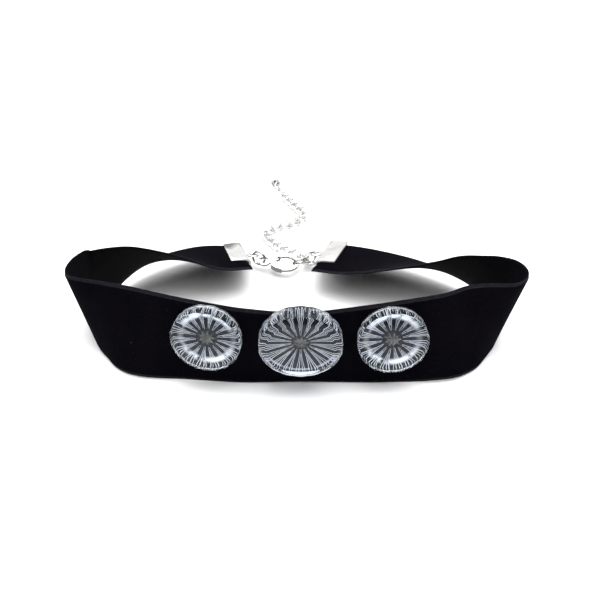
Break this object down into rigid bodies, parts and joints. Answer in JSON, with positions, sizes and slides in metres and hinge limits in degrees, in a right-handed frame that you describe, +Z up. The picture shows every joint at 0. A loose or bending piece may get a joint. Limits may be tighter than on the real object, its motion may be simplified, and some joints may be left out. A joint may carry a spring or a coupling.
{
  "type": "choker necklace",
  "caption": "Black velvet ribbon choker standing on its edge, with clear fluted crystals on the front, ribbon clamps, a lobster clasp and an extender chain.",
  "frame": {"origin": "middle of the footprint, on the surface that the ribbon and chain rest on", "axes": "+Z up, -Y is the side with the crystals, +Y is the back where the chain lies, +X to the right seen from the front"},
  "size_m": [0.12, 0.1152, 0.0282],
  "materials": {
    "velvet": "matte short-pile velvet",
    "crystal": "polished, clear",
    "silver": "bright silver-coloured plating"
  },
  "bodies": {
    "necklace": {"velvet_ribbon": "velvet", "crystal_left": "crystal", "crystal_centre": "crystal", "crystal_right": "crystal", "clamp_left": "silver", "clamp_right": "silver", "jump_ring": "silver", "clasp_body": "silver", "link_held": "silver", "link_clamp": "silver", "link_01": "silver", "link_02": "silver", "link_03": "silver", "link_04": "silver", "link_05": "silver", "link_06": "silver", "link_07": "silver", "link_08": "silver", "link_09": "silver", "link_10": "silver", "link_11": "silver", "link_12": "silver", "link_13": "silver", "link_14": "silver", "link_15": "silver", "link_16": "silver", "link_17": "silver", "link_18": "silver", "link_19": "silver", "link_20": "silver", "chain_drop": "silver"},
    "lever": {"clasp_lever": "silver"}
  },
  "joints": [
    {"name": "lever_hinge", "type": "hinge", "parent": "necklace", "child": "lever", "pos_m": [-0.00594, 0.00141, 0.00449], "axis": [0.0157, 0.3099, -0.9506], "range_deg": [0, 30], "stiffness_Nm_per_rad": 0.0001, "springref_deg": -11.46}
  ]
}
